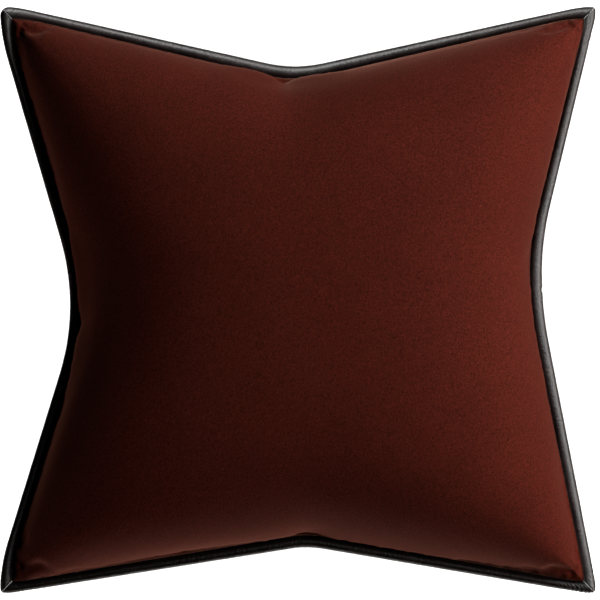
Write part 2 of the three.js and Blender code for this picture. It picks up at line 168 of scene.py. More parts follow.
# cotton velvet, woven on a twill ground with a short cut pile: it glows where it is seen along
# the pile and stays dull where it is seen from above
def cottonVelvet():
    material, tree, place, shader = newMaterial("cottonVelvetRust")
    lean = (0, 0, math.radians(pile["twillLean"]))
    onBias = addNode(tree, "Mapping", {"Vector": place, "Rotation": lean, "Scale": pile["twillStretch"]},
                     vector_type="TEXTURE")
    twill = addNode(tree, "TexNoise", {"Vector": onBias.outputs[0], "Scale": pile["twill"], "Detail": 1,
                                       "Roughness": 0.4})
    tufts = addNode(tree, "TexNoise", {"Vector": place, "Scale": pile["tufts"], "Detail": 1,
                                       "Roughness": 0.5})
    height = addNode(tree, "Math", {0: twill.outputs["Fac"], 1: tufts.outputs["Fac"]}, operation="ADD")
    # raised to a power so that bright and dark tufts look equally strong
    low, high = pile["depth"]
    depth = addNode(tree, "MapRange", {"Value": height.outputs[0], "From Min": 0.6, "From Max": 1.4,
                                       "To Min": low, "To Max": high})
    grain = addNode(tree, "Math", {0: depth.outputs[0], 1: pile["contrast"]}, operation="POWER").outputs[0]
    turned = addNode(tree, "TexNoise", {"Vector": place, "Scale": pile["turned"], "Detail": 4,
                                        "Roughness": 0.55})
    patches = rampBetween(tree, turned.outputs["Fac"], hexColour("#772c1f"), hexColour("#803022"))
    tone = addNode(tree, "Mix", {"Factor": 1.0, 6: patches, 7: grain}, data_type="RGBA",
                   blend_type="MULTIPLY")
    # lint caught on the pile, a short pale fibre here and there
    lint = addNode(tree, "TexNoise", {"Vector": place, "Scale": pile["lint"], "Detail": 1})
    caught = addNode(tree, "MapRange", {"Value": lint.outputs["Fac"], "From Min": 0.79, "From Max": 0.85,
                                        "To Max": 0.5})
    colour = addNode(tree, "Mix", {"Factor": caught.outputs[0], 6: tone.outputs[2], 7: hexColour("#94503f")},
                     data_type="RGBA")
    tree.links.new(colour.outputs[2], shader.inputs["Base Color"])
    bump = addNode(tree, "Bump", {"Height": height.outputs[0], "Strength": 0.15,
                                  "Distance": pile["relief"] * mm})
    tree.links.new(bump.outputs[0], shader.inputs["Normal"])
    setShader(shader, Roughness=0.9, Specular_IOR_Level=0.12, Sheen_Weight=0.5, Sheen_Roughness=0.4,
              Sheen_Tint=hexColour("#e2a08c"))
    return material


# scales are cells to the metre, and relief is in millimetres
hide = {
    "wrinkles": 560,         # one every 2 mm or so, and longer than it is wide by the stretch
    "wrinkleStretch": 0.22,
    "wrinkleRelief": 1.0,
    "pebbles": 1300,         # pores 0.8 mm apart
    "pebbleRelief": 0.3,
    "wear": 60,              # patches of about 17 mm
    "gloss": (0.34, 0.46),
}


# calf leather, dyed black and lightly glazed: a soft broad highlight, broken where the strip
# wrinkles across its length and by a fine pebbled grain
def glazedLeather(runsAlong):
    material, tree, place, shader = newMaterial("glazedBlackLeatherAlong" + runsAlong)
    long = hide["wrinkleStretch"]
    stretch = (1, long, long) if runsAlong == "X" else (long, 1, long)
    bent = addNode(tree, "Mapping", {"Vector": place, "Scale": stretch})
    wrinkles = addNode(tree, "TexNoise", {"Vector": bent.outputs[0], "Scale": hide["wrinkles"], "Detail": 4,
                                          "Roughness": 0.6})
    grain = addNode(tree, "TexVoronoi", {"Vector": place, "Scale": hide["pebbles"]},
                    feature="DISTANCE_TO_EDGE")
    wear = addNode(tree, "TexNoise", {"Vector": place, "Scale": hide["wear"], "Detail": 5, "Roughness": 0.6})
    tone = rampBetween(tree, wear.outputs["Fac"], hexColour("#0e0c0c"), hexColour("#231e1d"))
    tree.links.new(tone, shader.inputs["Base Color"])
    smooth, rough = hide["gloss"]
    gloss = addNode(tree, "MapRange", {"Value": wear.outputs["Fac"], "From Min": 0.3, "From Max": 0.7,
                                       "To Min": smooth, "To Max": rough})
    tree.links.new(gloss.outputs[0], shader.inputs["Roughness"])
    pebbles = addNode(tree, "Bump", {"Height": grain.outputs["Distance"], "Strength": 0.35,
                                     "Distance": hide["pebbleRelief"] * mm})
    folded = addNode(tree, "Bump", {"Height": wrinkles.outputs["Fac"], "Strength": 1.0,
                                    "Distance": hide["wrinkleRelief"] * mm, "Normal": pebbles.outputs[0]})
    tree.links.new(folded.outputs[0], shader.inputs["Normal"])
    setShader(shader, IOR=1.5)
    return material


# a woven or spun cloth seen close: threads across each other, a little uneven
def wovenCloth(name, dark, light, threadMm, rough):
    material, tree, place, shader = newMaterial(name)
    # a wave texture's phase grows 20 times as fast as its scale, and one wave covers two threads
    scale = math.pi / (threadMm * mm) / 20
    bands = {"Vector": place, "Scale": scale, "Distortion": 1.5, "Detail": 2}
    across = addNode(tree, "TexWave", bands)
    along = addNode(tree, "TexWave", bands, bands_direction="Z")
    weave = addNode(tree, "Math", {0: across.outputs["Fac"], 1: along.outputs["Fac"]}, operation="MULTIPLY")
    tree.links.new(rampBetween(tree, weave.outputs[0], dark, light, 0, 0.6), shader.inputs["Base Color"])
    bump = addNode(tree, "Bump", {"Height": weave.outputs[0], "Strength": 0.4, "Distance": 0.0003})
    tree.links.new(bump.outputs[0], shader.inputs["Normal"])
    setShader(shader, Roughness=rough, Specular_IOR_Level=0.25)
    return material


# nylon monofilament, drawn and coiled: smooth with a small sharp shine
def coiledNylon():
    material, tree, place, shader = newMaterial("coiledNylon")
    streak = addNode(tree, "TexNoise", {"Vector": place, "Scale": 700, "Detail": 2})
    tone = rampBetween(tree, streak.outputs["Fac"], hexColour("#3a130e"), hexColour("#55211a"))
    tree.links.new(tone, shader.inputs["Base Color"])
    setShader(shader, Roughness=0.38, IOR=1.53)
    return material


# zinc, die cast and plated dark: a warm grey sheen with fine handling scratches
def platedZinc():
    material, tree, place, shader = newMaterial("platedZinc")
    scratch = addNode(tree, "TexNoise", {"Vector": place, "Scale": 2600, "Detail": 4, "Roughness": 0.7})
    tone = rampBetween(tree, scratch.outputs["Fac"], hexColour("#4d4641"), hexColour("#8d857d"))
    tree.links.new(tone, shader.inputs["Base Color"])
    gloss = addNode(tree, "MapRange", {"Value": scratch.outputs["Fac"], "To Min": 0.22, "To Max": 0.42})
    tree.links.new(gloss.outputs[0], shader.inputs["Roughness"])
    setShader(shader, Metallic=1.0)
    return material


# goose feather and down, loose: matt white with soft clumps
def looseDown():
    material, tree, place, shader = newMaterial("looseDown")
    clumps = addNode(tree, "TexNoise", {"Vector": place, "Scale": 120, "Detail": 6, "Roughness": 0.7})
    tone = rampBetween(tree, clumps.outputs["Fac"], hexColour("#cfc8ba"), hexColour("#f7f4ec"))
    tree.links.new(tone, shader.inputs["Base Color"])
    bump = addNode(tree, "Bump", {"Height": clumps.outputs["Fac"], "Strength": 0.7, "Distance": 0.002})
    tree.links.new(bump.outputs[0], shader.inputs["Normal"])
    setShader(shader, Roughness=1.0, Sheen_Weight=0.3)
    return material


# the outline of the seam

def dipAlong(side, share, length):
    shape = sides[side]
    early = share < shape["valley"]
    run = np.where(early, shape["valley"], 1 - shape["valley"]) * length
    distance = np.where(early, share, 1 - share) * length
    dip, ease, rounded = shape["dip"] * mm, shape["ease"] * mm, shape["round"] * mm
    slope = dip / (run - (ease + rounded) / 2)
    flank = slope * (distance - ease / 2)
    corner = slope * distance ** 2 / (2 * ease)
    valley = dip - slope * (run - distance) ** 2 / (2 * rounded)
    return np.where(distance < ease, corner, np.where(distance > run - rounded, valley, flank))


def edgeLine(side, share, inset=0.0):
    wide, deep = halfX - inset, halfY - inset
    along = 2 * share - 1
    if side in ("bottom", "top"):
        dip = dipAlong(side, share, 2 * wide)
        return np.stack([along * wide, (deep - dip) if side == "top" else (dip - deep)], -1)
    dip = dipAlong(side, share, 2 * deep)
    return np.stack([(wide - dip) if side == "right" else (dip - wide), along * deep], -1)


# steps stand closer together near the seams, where cloth and leather bend most
def closerAtEnds(steps):
    crowding = 0.6
    t = np.linspace(0, 1, steps + 1)
    return t - crowding * np.sin(2 * np.pi * t) / (2 * np.pi)


lattice = closerAtEnds(cover["lines"])


def fillOutline(edges, inset):
    across = lattice[None, :, None]
    up = lattice[:, None, None]
    plain = np.stack(np.broadcast_arrays((2 * lattice[None, :] - 1) * (halfX - inset),
                                         (2 * lattice[:, None] - 1) * (halfY - inset)), -1)
    return ((1 - up) * edges["bottom"][None] + up * edges["top"][None]
            + (1 - across) * edges["left"][:, None] + across * edges["right"][:, None] - plain)


def outlineEdges(inset, shares=lattice):
    return {side: edgeLine(side, shares, inset) for side in sides}


# once round the panel's edge, in the order that rimLoop numbers it
def rimPath(inset, shares):
    edges = outlineEdges(inset, shares)
    return np.concatenate([edges["bottom"][:-1], edges["right"][:-1],
                           edges["top"][:0:-1], edges["left"][:0:-1]])


# the zip's path, read from its joint and its tapes

zipJoint = next(joint for joint in frame["joints"] if joint["name"] == "zip_run")
pullJoint = next(joint for joint in frame["joints"] if joint["name"] == "zip_puller_swing")
zipCentre = np.array(zipJoint["pos_m"][:2])
chainZ = zipJoint["pos_m"][2]


def zipSpread(node):
    points = np.array([v.co for v in frame["nodes"][node].data.vertices])
    away = points[:, :2] - zipCentre
    angles = np.arctan2(away[:, 0], away[:, 1])
    reach = np.hypot(away[:, 0], away[:, 1])
    return angles.min(), angles.max(), reach.min(), reach.max()


zipStart, zipEnd, tapeFace, _ = zipSpread("zip_tape_upper")
rowStart, rowEnd, rowFace, rowBack = zipSpread("zip_coil_upper")


def onZip(angle, reach, z):
    return np.stack(np.broadcast_arrays(zipCentre[0] + reach * np.sin(angle),
                                        zipCentre[1] + reach * np.cos(angle), z), -1)


def zipAngles(points):
    return np.arctan2(points[..., 0] - zipCentre[0], points[..., 1] - zipCentre[1])


def smoothStep(values):
    values = np.clip(values, 0, 1)
    return values * values * (3 - 2 * values)


zipSlot = {
    "past": 8,               # how far it runs past each end of the tapes, for the puller's tip
    "ease": 9,               # over which it closes
    "proud": 2.0,            # how far its edge stands outside the tapes
    "pulled": (0.8, 0.5, 0.25),     # share of the edge's move that the next lattice lines take
    "held": 22,              # how far below it the velvet lies smooth
}


# 1 along the zip and past its ends, easing to 0
def zipWeight(points):
    angles = zipAngles(points)
    ease = zipSlot["ease"] * mm / tapeFace
    past = ease + zipSlot["past"] * mm / tapeFace
    return smoothStep((angles - zipStart + past) / ease) * smoothStep((zipEnd + past - angles) / ease)


# the cover, cut flat and blown up

def crownSwell():
    u = np.abs(2 * lattice - 1) ** cover["crownPower"]
    return ((1 - u[None, :]) * (1 - u[:, None])) ** cover["fullness"]


def startingPanels():
    plan = fillOutline(outlineEdges(seamInset), seamInset)
    swell = crownSwell()
    rim = cover["rim"] * mm
    front = np.concatenate([plan, (seamZ + rim + (crownZ - seamZ - rim) * swell)[..., None]], -1)
    sunk = seamZ - rim - (seamZ + cover["restSink"] * mm - rim) * swell
    back = np.concatenate([plan, np.maximum(sunk, cover["startLift"] * mm)[..., None]], -1)
    edge = back[0]
    weight = zipWeight(edge)[:, None]
    slotEdge = onZip(zipAngles(edge), tapeFace - zipSlot["proud"] * mm, seamZ - cover["slotDrop"] * mm)
    back[0] = edge * (1 - weight) + slotEdge * weight
    pulled = np.array(zipSlot["pulled"])[:, None, None]
    back[1:1 + len(pulled), :, :2] += (back[0, :, :2] - edge[:, :2]) * pulled
    return front, back


def rimLoop(count):
    grid = np.arange(count * count).reshape(count, count)
    return np.concatenate([grid[0, :-1], grid[:-1, -1], grid[-1, :0:-1], grid[:0:-1, 0]])


def gridFaces(count, flip=False):
    grid = np.arange(count * count).reshape(count, count)
    faces = np.stack([grid[:-1, :-1], grid[:-1, 1:], grid[1:, 1:], grid[1:, :-1]], -1).reshape(-1, 4)
    return faces[:, ::-1] if flip else faces


def bridgeLoops(upper, lower):
    return np.stack([np.roll(upper, -1), upper, lower, np.roll(lower, -1)], -1)


inflate = {
    "frames": 14,
    "quality": 6,
    "pressure": 120,
    "tension": 60,           # stiff, as a close weave hardly stretches
    "shear": 20,
    "bending": 10,
    "mass": 0.002,
    "damping": 15,
    "shearDamping": 10,
    "airDamping": 4,
    "groundSize": 2,
}


# both panels are one cloth, pinned along the seam, whose rest shape is two flat squares
def blowUp(front, back):
    count = cover["lines"] + 1
    half = count * count
    loop = rimLoop(count)
    faces = np.concatenate([gridFaces(count), gridFaces(count, flip=True) + half,
                            bridgeLoops(loop, loop + half)])
    cut = (lattice - 0.5) * cover["cutSize"] * mm
    flat = np.stack(np.broadcast_arrays(cut[None, :], cut[:, None], 0.0), -1).reshape(-1, 3)
    rest = np.concatenate([flat + (0, 0, mm), flat - (0, 0, mm)])
    mesh = bpy.data.meshes.new("coverCloth")
    start = np.concatenate([front.reshape(-1, 3), back.reshape(-1, 3)])
    mesh.from_pydata(start.tolist(), [], faces.tolist())
    cloth = bpy.data.objects.new("coverCloth", mesh)
    bpy.context.scene.collection.objects.link(cloth)
    seam = cloth.vertex_groups.new(name="seam")
    seam.add(np.concatenate([loop, loop + half]).tolist(), 1.0, "REPLACE")
    cloth.shape_key_add(name="Basis")
    flatKey = cloth.shape_key_add(name="flatCut")
    flatKey.data.foreach_set("co", rest.ravel())
    flatKey.value = 0
    modifier = cloth.modifiers.new("blow", "CLOTH")
    settings = modifier.settings
    settings.vertex_group_mass = "seam"
    settings.rest_shape_key = flatKey
    settings.quality = inflate["quality"]
    settings.mass = inflate["mass"]
    settings.tension_stiffness = settings.compression_stiffness = inflate["tension"]
    settings.shear_stiffness = inflate["shear"]
    settings.bending_stiffness = inflate["bending"]
    settings.tension_damping = settings.compression_damping = inflate["damping"]
    settings.shear_damping = inflate["shearDamping"]
    settings.air_damping = inflate["airDamping"]
    settings.use_pressure = True
    settings.uniform_pressure_force = inflate["pressure"]
    settings.effector_weights.gravity = 0
    modifier.collision_settings.distance_min = mm
    bpy.ops.mesh.primitive_plane_add(size=inflate["groundSize"], location=(0, 0, -mm))
    ground = bpy.context.object
    ground.modifiers.new("stop", "COLLISION")
    ground.collision.thickness_outer = mm
    scene = bpy.context.scene
    scene.frame_start, scene.frame_end = 1, inflate["frames"]
    modifier.point_cache.frame_start, modifier.point_cache.frame_end = 1, inflate["frames"]
    for step in range(1, inflate["frames"] + 1):
        scene.frame_set(step)
    done = cloth.evaluated_get(bpy.context.evaluated_depsgraph_get())
    points = np.empty(2 * half * 3, np.float32)
    done.data.vertices.foreach_get("co", points)
    points = points.reshape(2, count, count, 3).astype(float)
    scene.frame_set(1)
    for helper in (cloth, ground):
        bpy.data.objects.remove(helper, do_unlink=True)
    bpy.data.meshes.remove(mesh)
    return points[0], points[1]


# keeps the filled cloth near the frame's form, with its crown at the frame's height
def settle(points, start, target):
    move = points - start
    length = np.linalg.norm(move, axis=-1, keepdims=True)
    points = start + move * np.minimum(1, cover["farthest"] * mm / np.maximum(length, 1e-9))
    top = points[..., 2].max() if target > seamZ else points[..., 2].min()
    points[..., 2] = seamZ + (points[..., 2] - seamZ) * (target - seamZ) / (top - seamZ)
    return points


# the crown keeps its height and the slopes beside it stand fuller
def packShoulders(points):
    rise = (points[..., 2] - seamZ) / (crownZ - seamZ)
    fuller = rise * (1 + cover["shoulder"] * (1 - rise))
    return np.concatenate([points[..., :2], (seamZ + fuller * (crownZ - seamZ))[..., None]], -1)


stage("cutting and filling the cover")
frontStart, backStart = startingPanels()
frontFilled, backFilled = blowUp(frontStart, backStart)
frontCloth = packShoulders(settle(frontFilled, frontStart, crownZ - cover["crownRoom"] * mm))
backCloth = settle(backFilled, backStart, 0.0)


# folds and puckers that the sewing leaves, on a finer lattice than the simulation's

# how many parts each lattice interval is cut into
def fineSplits(points):
    middle = points[:, len(points) // 2]
    steps = np.linalg.norm(np.diff(middle, axis=0), axis=1)
    steps = np.maximum(steps, steps[::-1])
    splits = np.ceil(steps / (cover["finestStep"] * mm)).astype(int)
    splits[[0, -1]] = cover["edgeSplits"]
    return splits


# a smooth curve through every row, as an upholsterer's batten would lie
def resample(values, splits):
    before = np.concatenate([2 * values[:1] - values[1:2], values[:-1]])
    after = np.concatenate([values[1:], 2 * values[-1:] - values[-2:-1]])
    tangents = (after - before) / 2
    rows = []
    for number, parts in enumerate(splits):
        here, ahead = values[number], values[number + 1]
        leaving, arriving = tangents[number], tangents[number + 1]
        for t in np.arange(parts) / parts:
            rows.append((2 * t ** 3 - 3 * t ** 2 + 1) * here + (t ** 3 - 2 * t ** 2 + t) * leaving
                        + (3 * t ** 2 - 2 * t ** 3) * ahead + (t ** 3 - t ** 2) * arriving)
    rows.append(values[-1])
    return np.array(rows)


def refine(points, splits):
    once = resample(points, splits)
    return resample(once.transpose(1, 0, 2), splits).transpose(1, 0, 2)


def surfaceNormals(points, outward):
    along = np.gradient(points, axis=1)
    up = np.gradient(points, axis=0)
    normals = np.cross(along, up) * outward
    return normals / np.maximum(np.linalg.norm(normals, axis=-1, keepdims=True), 1e-12)


def waves(along, seed, lengths):
    chance = np.random.default_rng(seed)
    total = np.zeros_like(along)
    for length in lengths:
        phase = chance.uniform(0, 2 * np.pi)
        total += np.sin(2 * np.pi * along / length + phase) * chance.uniform(0.6, 1.0)
    return total / len(lengths)


pucker = {
    "height": 0.5,           # of the small waves beside the seam
    "reach": 14,             # how far they run into the panel
    "lengths": (19, 31, 47),
    "stitchHeight": 1.5,     # of the shorter waves that the stitches draw
    "stitchStart": 4,
    "stitchReach": 7,
    "stitchLengths": (8.5, 13, 21),
    "bulgePeak": 9,          # distance from the seam at which the velvet swells over the welt
    "bulgeFade": 17,
    "bulgeSquare": 4,        # 2 is a bell, and more is flatter on top
    "notchStart": 5,
    "notchWiden": 0.30,      # for each millimetre into the panel
    "notchSquare": 1.5,
    "cornerFree": 18,        # distance from a corner within which the sides' folds die out
    "seamFree": 3,           # the same from the seam, for all folds
    "creaseStart": 5,        # over which a corner's crease deepens, and over which it ends
    "creaseEnd": 12,
}

# where the velvet swells over the welt: share of the side, how far it stands out, half its length
swells = {
    "bottom": ((0.07, 1.6, 28), (0.30, -1.2, 60), (0.60, 0.8, 110), (0.86, -1.0, 40)),
    "right": ((0.12, -1.6, 60), (0.45, 1.4, 90), (0.74, 1.3, 80)),
    "top": ((0.475, 3.0, 52),),
    "left": ((0.17, -1.2, 70), (0.51, 4.4, 76), (0.83, -1.4, 70)),
}

# where the seam draws it in: share of the side, depth, half width, how far the crease runs, its lean
notches = {
    "bottom": ((0.516, 3.4, 10, 34, 0.10), (0.30, 1.0, 6, 14, 0.0), (0.80, 0.9, 5, 12, 0.3)),
    "right": ((0.600, 2.6, 6, 30, -0.55), (0.567, 2.4, 6, 22, -0.7), (0.33, 0.9, 5, 12, 0.2),
              (0.14, 1.0, 5, 12, 0.4)),
    "top": ((0.474, 7.6, 8, 40, 0.05), (0.57, 0.8, 7, 14, 0.2), (0.90, 1.0, 4, 12, 0.0)),
    "left": ((0.452, 4.4, 8, 26, 0.3), (0.640, 2.2, 9, 40, -0.5), (0.30, 1.2, 7, 26, 0.5)),
}

# creases that run out of each corner: start and end from the corner along the two sides, depth, half width
cornerCreases = {
    (0, 1): ((8, 13, 36, 18, 3.2, 6.0), (6, 26, 20, 40, 1.0, 6)),
    (1, 1): ((12, 9, 44, 18, 2.0, 5.0), (8, 12, 14, 34, 1.2, 4.5), (20, 6, 32, 9, 0.8, 3.4)),
    (1, 0): ((10, 10, 40, 19, 2.8, 5.6), (6, 18, 9, 34, 0.9, 4), (30, 9, 62, 15, 1.1, 5)),
    (0, 0): ((9, 15, 40, 24, 3.2, 6.2), (7, 32, 22, 46, 1.5, 6), (42, 8, 66, 14, 1.2, 5)),
}


def sideFolds(side, seed, along, depth):
    size = cover["cutSize"]
    rise = smoothStep(depth / pucker["bulgePeak"])
    past = np.maximum(depth - pucker["bulgePeak"], 0)
    total = pucker["height"] * waves(along, seed, pucker["lengths"]) * rise * np.exp(-depth / pucker["reach"])
    stitched = pucker["stitchHeight"] * waves(along, seed + 50, pucker["stitchLengths"])
    stitched = stitched * smoothStep(depth / pucker["stitchStart"]) * np.exp(-depth / pucker["stitchReach"])
    total = total + stitched
    for share, out, half in swells[side]:
        shape = np.exp(-((along - share * size) / half) ** pucker["bulgeSquare"])
        total = total + out * shape * rise * np.exp(-(past / pucker["bulgeFade"]) ** 2)
    for share, deep, half, run, lean in notches[side]:
        offset = np.abs(along - share * size - lean * depth)
        wide = half + depth * pucker["notchWiden"]
        crease = np.exp(-(offset / wide) ** pucker["notchSquare"]) * np.exp(-(depth / run) ** 2)
        total = total - deep * crease * smoothStep(depth / pucker["notchStart"])
    return total


def cornerFold(along, up, crease):
    startX, startY, endX, endY, deep, half = crease
    run = math.hypot(endX - startX, endY - startY)
    dirX, dirY = (endX - startX) / run, (endY - startY) / run
    travel = (along - startX) * dirX + (up - startY) * dirY
    off = (up - startY) * dirX - (along - startX) * dirY
    begun = smoothStep(travel / pucker["creaseStart"] + 0.5)
    inside = begun * smoothStep((run - travel) / pucker["creaseEnd"] + 0.3)
    return -deep * np.exp(-(off / half) ** 2) * inside


# distance along the cloth from each of its four seams, in millimetres
def seamDepths(points):
    depths = {}
    for side, order in (("bottom", points), ("top", points[::-1]),
                        ("left", points.transpose(1, 0, 2)), ("right", points.transpose(1, 0, 2)[::-1])):
        steps = np.linalg.norm(np.diff(order, axis=0), axis=-1)
        run = np.concatenate([np.zeros((1, steps.shape[1])), np.cumsum(steps, axis=0)]) * 1000
        run = run if side in ("bottom", "left") else run[::-1]
        depths[side] = run if side in ("bottom", "top") else run.T
    return depths


def sewnFolds(points, shares, outward, seed):
    height = np.zeros(points.shape[:2])
    depths = seamDepths(points)
    across = np.broadcast_to(shares[None, :], height.shape) * cover["cutSize"]
    up = np.broadcast_to(shares[:, None], height.shape) * cover["cutSize"]
    for number, side in enumerate(sides):
        along = across if side in ("bottom", "top") else up
        fold = sideFolds(side, seed + number, along, depths[side])
        fromCorner = np.minimum(along, cover["cutSize"] - along)
        height = height + fold * smoothStep(fromCorner / pucker["cornerFree"])
    for (cornerX, cornerY), creases in cornerCreases.items():
        alongX = depths["right"] if cornerX else depths["left"]
        alongY = depths["top"] if cornerY else depths["bottom"]
        for crease in creases:
            height = height + cornerFold(alongX, alongY, crease)
    edge = np.minimum.reduce(list(depths.values()))
    height = height * smoothStep(edge / pucker["seamFree"])
    return points + surfaceNormals(points, outward) * (height * mm)[..., None]


# the seam's own line beside each point of a side, and the direction from it into the panel
def seamBeside(side, shares):
    line = edgeLine(side, shares)
    along = np.gradient(line, axis=0)
    along = along / np.linalg.norm(along, axis=1, keepdims=True)
    turn = 1 if side in ("bottom", "right") else -1
    inward = np.stack([-along[:, 1], along[:, 0]], -1) * turn
    return line, inward


# velvet lies on the welt and never in it
def clearOfWelt(points, shares):
    nearest = (cover["weltDiameter"] / 2 + cover["gap"]) * mm
    rows = 14
    for side in sides:
        line, inward = seamBeside(side, shares)
        for depth in range(1, rows):
            row = depth if side in ("bottom", "left") else len(shares) - 1 - depth
            place = points[row] if side in ("bottom", "top") else points[:, row]
            gap = ((place[:, :2] - line) * inward).sum(-1)
            lift = place[:, 2] - seamZ
            away = np.hypot(gap, lift)
            push = np.maximum(nearest / np.maximum(away, 1e-9), 1)
            place[:, :2] += inward * (gap * (push - 1))[:, None]
            place[:, 2] = seamZ + lift * push
    return points


# keeps the velvet still beside the zip, where its edge is stitched to the lower tape
def heldByZip(points, depth):
    return zipWeight(points) * (points[..., 1] < 0) * np.exp(-(depth / zipSlot["held"]) ** 2)


splits = fineSplits(frontCloth)
shares = resample(lattice, splits)
stage(f"sewing folds into {len(shares)} lines each way")
frontPoints = refine(frontCloth, splits)
frontPoints = clearOfWelt(sewnFolds(frontPoints, shares, 1, 11), shares)
backPoints = refine(backCloth, splits)
backFolded = clearOfWelt(sewnFolds(backPoints, shares, -1, 29), shares)
offFloor = smoothStep((backPoints[..., 2] - cover["restHeight"] * mm) / (cover["restEase"] * mm))
free = offFloor * (1 - heldByZip(backPoints, seamDepths(backPoints)["bottom"]))
backPoints = backPoints + (backFolded - backPoints) * free[..., None]
backPoints[..., 2] = np.maximum(backPoints[..., 2], cover["floorGap"] * mm)


def makeObject(name, points, faces, material, smooth=True):
    mesh = bpy.data.meshes.new(name)
    corners = [list(map(int, face)) for face in faces]
    mesh.from_pydata(np.asarray(points).reshape(-1, 3).tolist(), [], corners)
    mesh.update()
    piece = bpy.data.objects.new(name, mesh)
    bpy.context.scene.collection.objects.link(piece)
    mesh.materials.append(material)
    for polygon in mesh.polygons:
        polygon.use_smooth = smooth
    return piece


def turnOutward(piece):
    shape = bmesh.new()
    shape.from_mesh(piece.data)
    bmesh.ops.recalc_face_normals(shape, faces=shape.faces)
    shape.to_mesh(piece.data)
    shape.free()
    return piece


# rings of the seam allowance in millimetres: how far in from the edge and above the rim, and along
# the zip how far in and how far up
hem = ((1.2, -0.1, 1.0, 0.4), (3.0, -0.15, 1.9, -2.2), (9.0, -0.15, 1.7, -6.5))


# the seam allowance turns in behind the welt, or behind the panel's own edge along the zip
def turnedEdge(points, upward):
    edge = points.reshape(-1, 3)[rimLoop(len(points))]
    weight = np.zeros((len(edge), 1))
    if upward < 0:
        weight = (zipWeight(edge) * (edge[:, 1] < 0))[:, None]
    outward = zipCentre - edge[:, :2]
    outward = outward / np.linalg.norm(outward, axis=1, keepdims=True)
    rings = []
    for inset, lift, tuck, rise in hem:
        ring = rimPath(seamInset + inset * mm, shares)
        level = seamZ + upward * (cover["rim"] + lift) * mm
        plain = np.concatenate([ring, np.full((len(ring), 1), level)], 1)
        tucked = edge - np.concatenate([outward * tuck * mm, np.full((len(edge), 1), -rise * mm)], 1)
        rings.append(plain * (1 - weight) + tucked * weight)
    return rings


def velvetPanel(name, points, upward, material):
    count = len(points)
    last = rimLoop(count)
    rings = turnedEdge(points, upward)
    faces = [gridFaces(count, flip=upward < 0)]
    for number, ring in enumerate(rings):
        here = count * count + number * len(ring) + np.arange(len(ring))
        bridge = bridgeLoops(last, here)
        faces.append(bridge if upward > 0 else bridge[:, ::-1])
        last = here
    allPoints = np.concatenate([points.reshape(-1, 3), *rings])
    panel = makeObject(name, allPoints, np.concatenate(faces), material)
    thick = panel.modifiers.new("cloth", "SOLIDIFY")
    thick.thickness = cover["velvet"] * cover["backing"] * mm
    thick.offset = -1
    return panel


stage("velvet panels")
velvet = cottonVelvet()
frontPanel = velvetPanel("frontVelvet", frontPoints, 1, velvet)
backPanel = velvetPanel("backVelvet", backPoints, -1, velvet)
for panel, node in ((frontPanel, "front_panel"), (backPanel, "back_panel")):
    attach(panel, "cover")
    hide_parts(node)


# the welt: leather stitched round a cord, one length to a side, mitred at the corners

welt = {
    "wall": 0.9,
    "allowance": 12,         # how far its two flaps run in between the panels
    "flange": 1.0,           # half of the folded leather's thickness
    "steps": 400,
    "around": 22,
    "mitreGap": 0.06,
    "plump": 1.07,           # how much fuller the cord packs the leather than its drawn size
    "most": 1.03,            # of its drawn size, before it is packed
    "swell": 0.016,          # slow changes of thickness along a side
    "swellLengths": (23, 37, 61),
    "pinch": 0.16,           # where the mitre's stitches draw it in
    "pinchReach": 0.8,
    "shoulder": 0.02,        # the slight swelling beside the pinch
    "shoulderAt": 3.0,
    "shoulderHalf": 1.5,
    "roundReach": 4.5,       # how far from a mitre its outside is rounded off
}

# creases of the leather: share of the side, half length, pitch, depth and how far they lean round the welt
weltCreases = {
    "bottom": ((0.972, 11, 3.7, 0.75, 1.1), (0.04, 12, 3.4, 0.22, -0.6), (0.51, 16, 3.2, 0.14, 0.3)),
    "right": ((0.517, 2.6, 9, 0.7, 0.5), (0.945, 5, 8, 0.5, 0.4), (0.03, 10, 4.6, 0.35, 0.8),
              (0.56, 16, 3.1, 0.16, 0.3)),
    "top": ((0.035, 11, 2.6, 0.22, 0.4), (0.95, 20, 3.0, 0.25, -0.5), (0.5, 20, 2.8, 0.12, 0.1)),
    "left": ((0.95, 14, 3.2, 0.3, -0.6), (0.035, 8, 3.4, 0.2, 0.5), (0.5, 22, 3.4, 0.12, 0.2)),
}

# how far the outside of each mitre is rounded off, as a share of the welt's radius, by corner
cornerRounding = {(0, 1): 0.42, (1, 1): 0.12, (1, 0): 0.18, (0, 0): 0.16}
sideEnds = {
    "bottom": ((0, 0), (1, 0)),
    "right": ((1, 0), (1, 1)),
    "top": ((0, 1), (1, 1)),
    "left": ((0, 0), (0, 1)),
}


def weltShares(side):
    length = 2 * (halfX if side in ("bottom", "top") else halfY)
    short = welt["mitreGap"] * mm / length
    return np.clip(closerAtEnds(welt["steps"]), short, 1 - short), length


def sweepSide(side, shares, insets, lifts):
    columns = []
    for step in range(insets.shape[1]):
        plan = edgeLine(side, shares, insets[:, step])
        columns.append(np.concatenate([plan, (seamZ + lifts[:, step])[:, None]], 1))
    return np.stack(columns, 1)


def tubeFaces(steps, around, start=0, flip=False):
    ring = np.arange(around)
    following = np.roll(ring, -1)
    faces = []
    for step in range(steps):
        low, high = start + step * around, start + (step + 1) * around
        quad = np.stack([low + ring, low + following, high + following, high + ring], -1)
        faces.append(quad[:, ::-1] if flip else quad)
    return np.concatenate(faces)


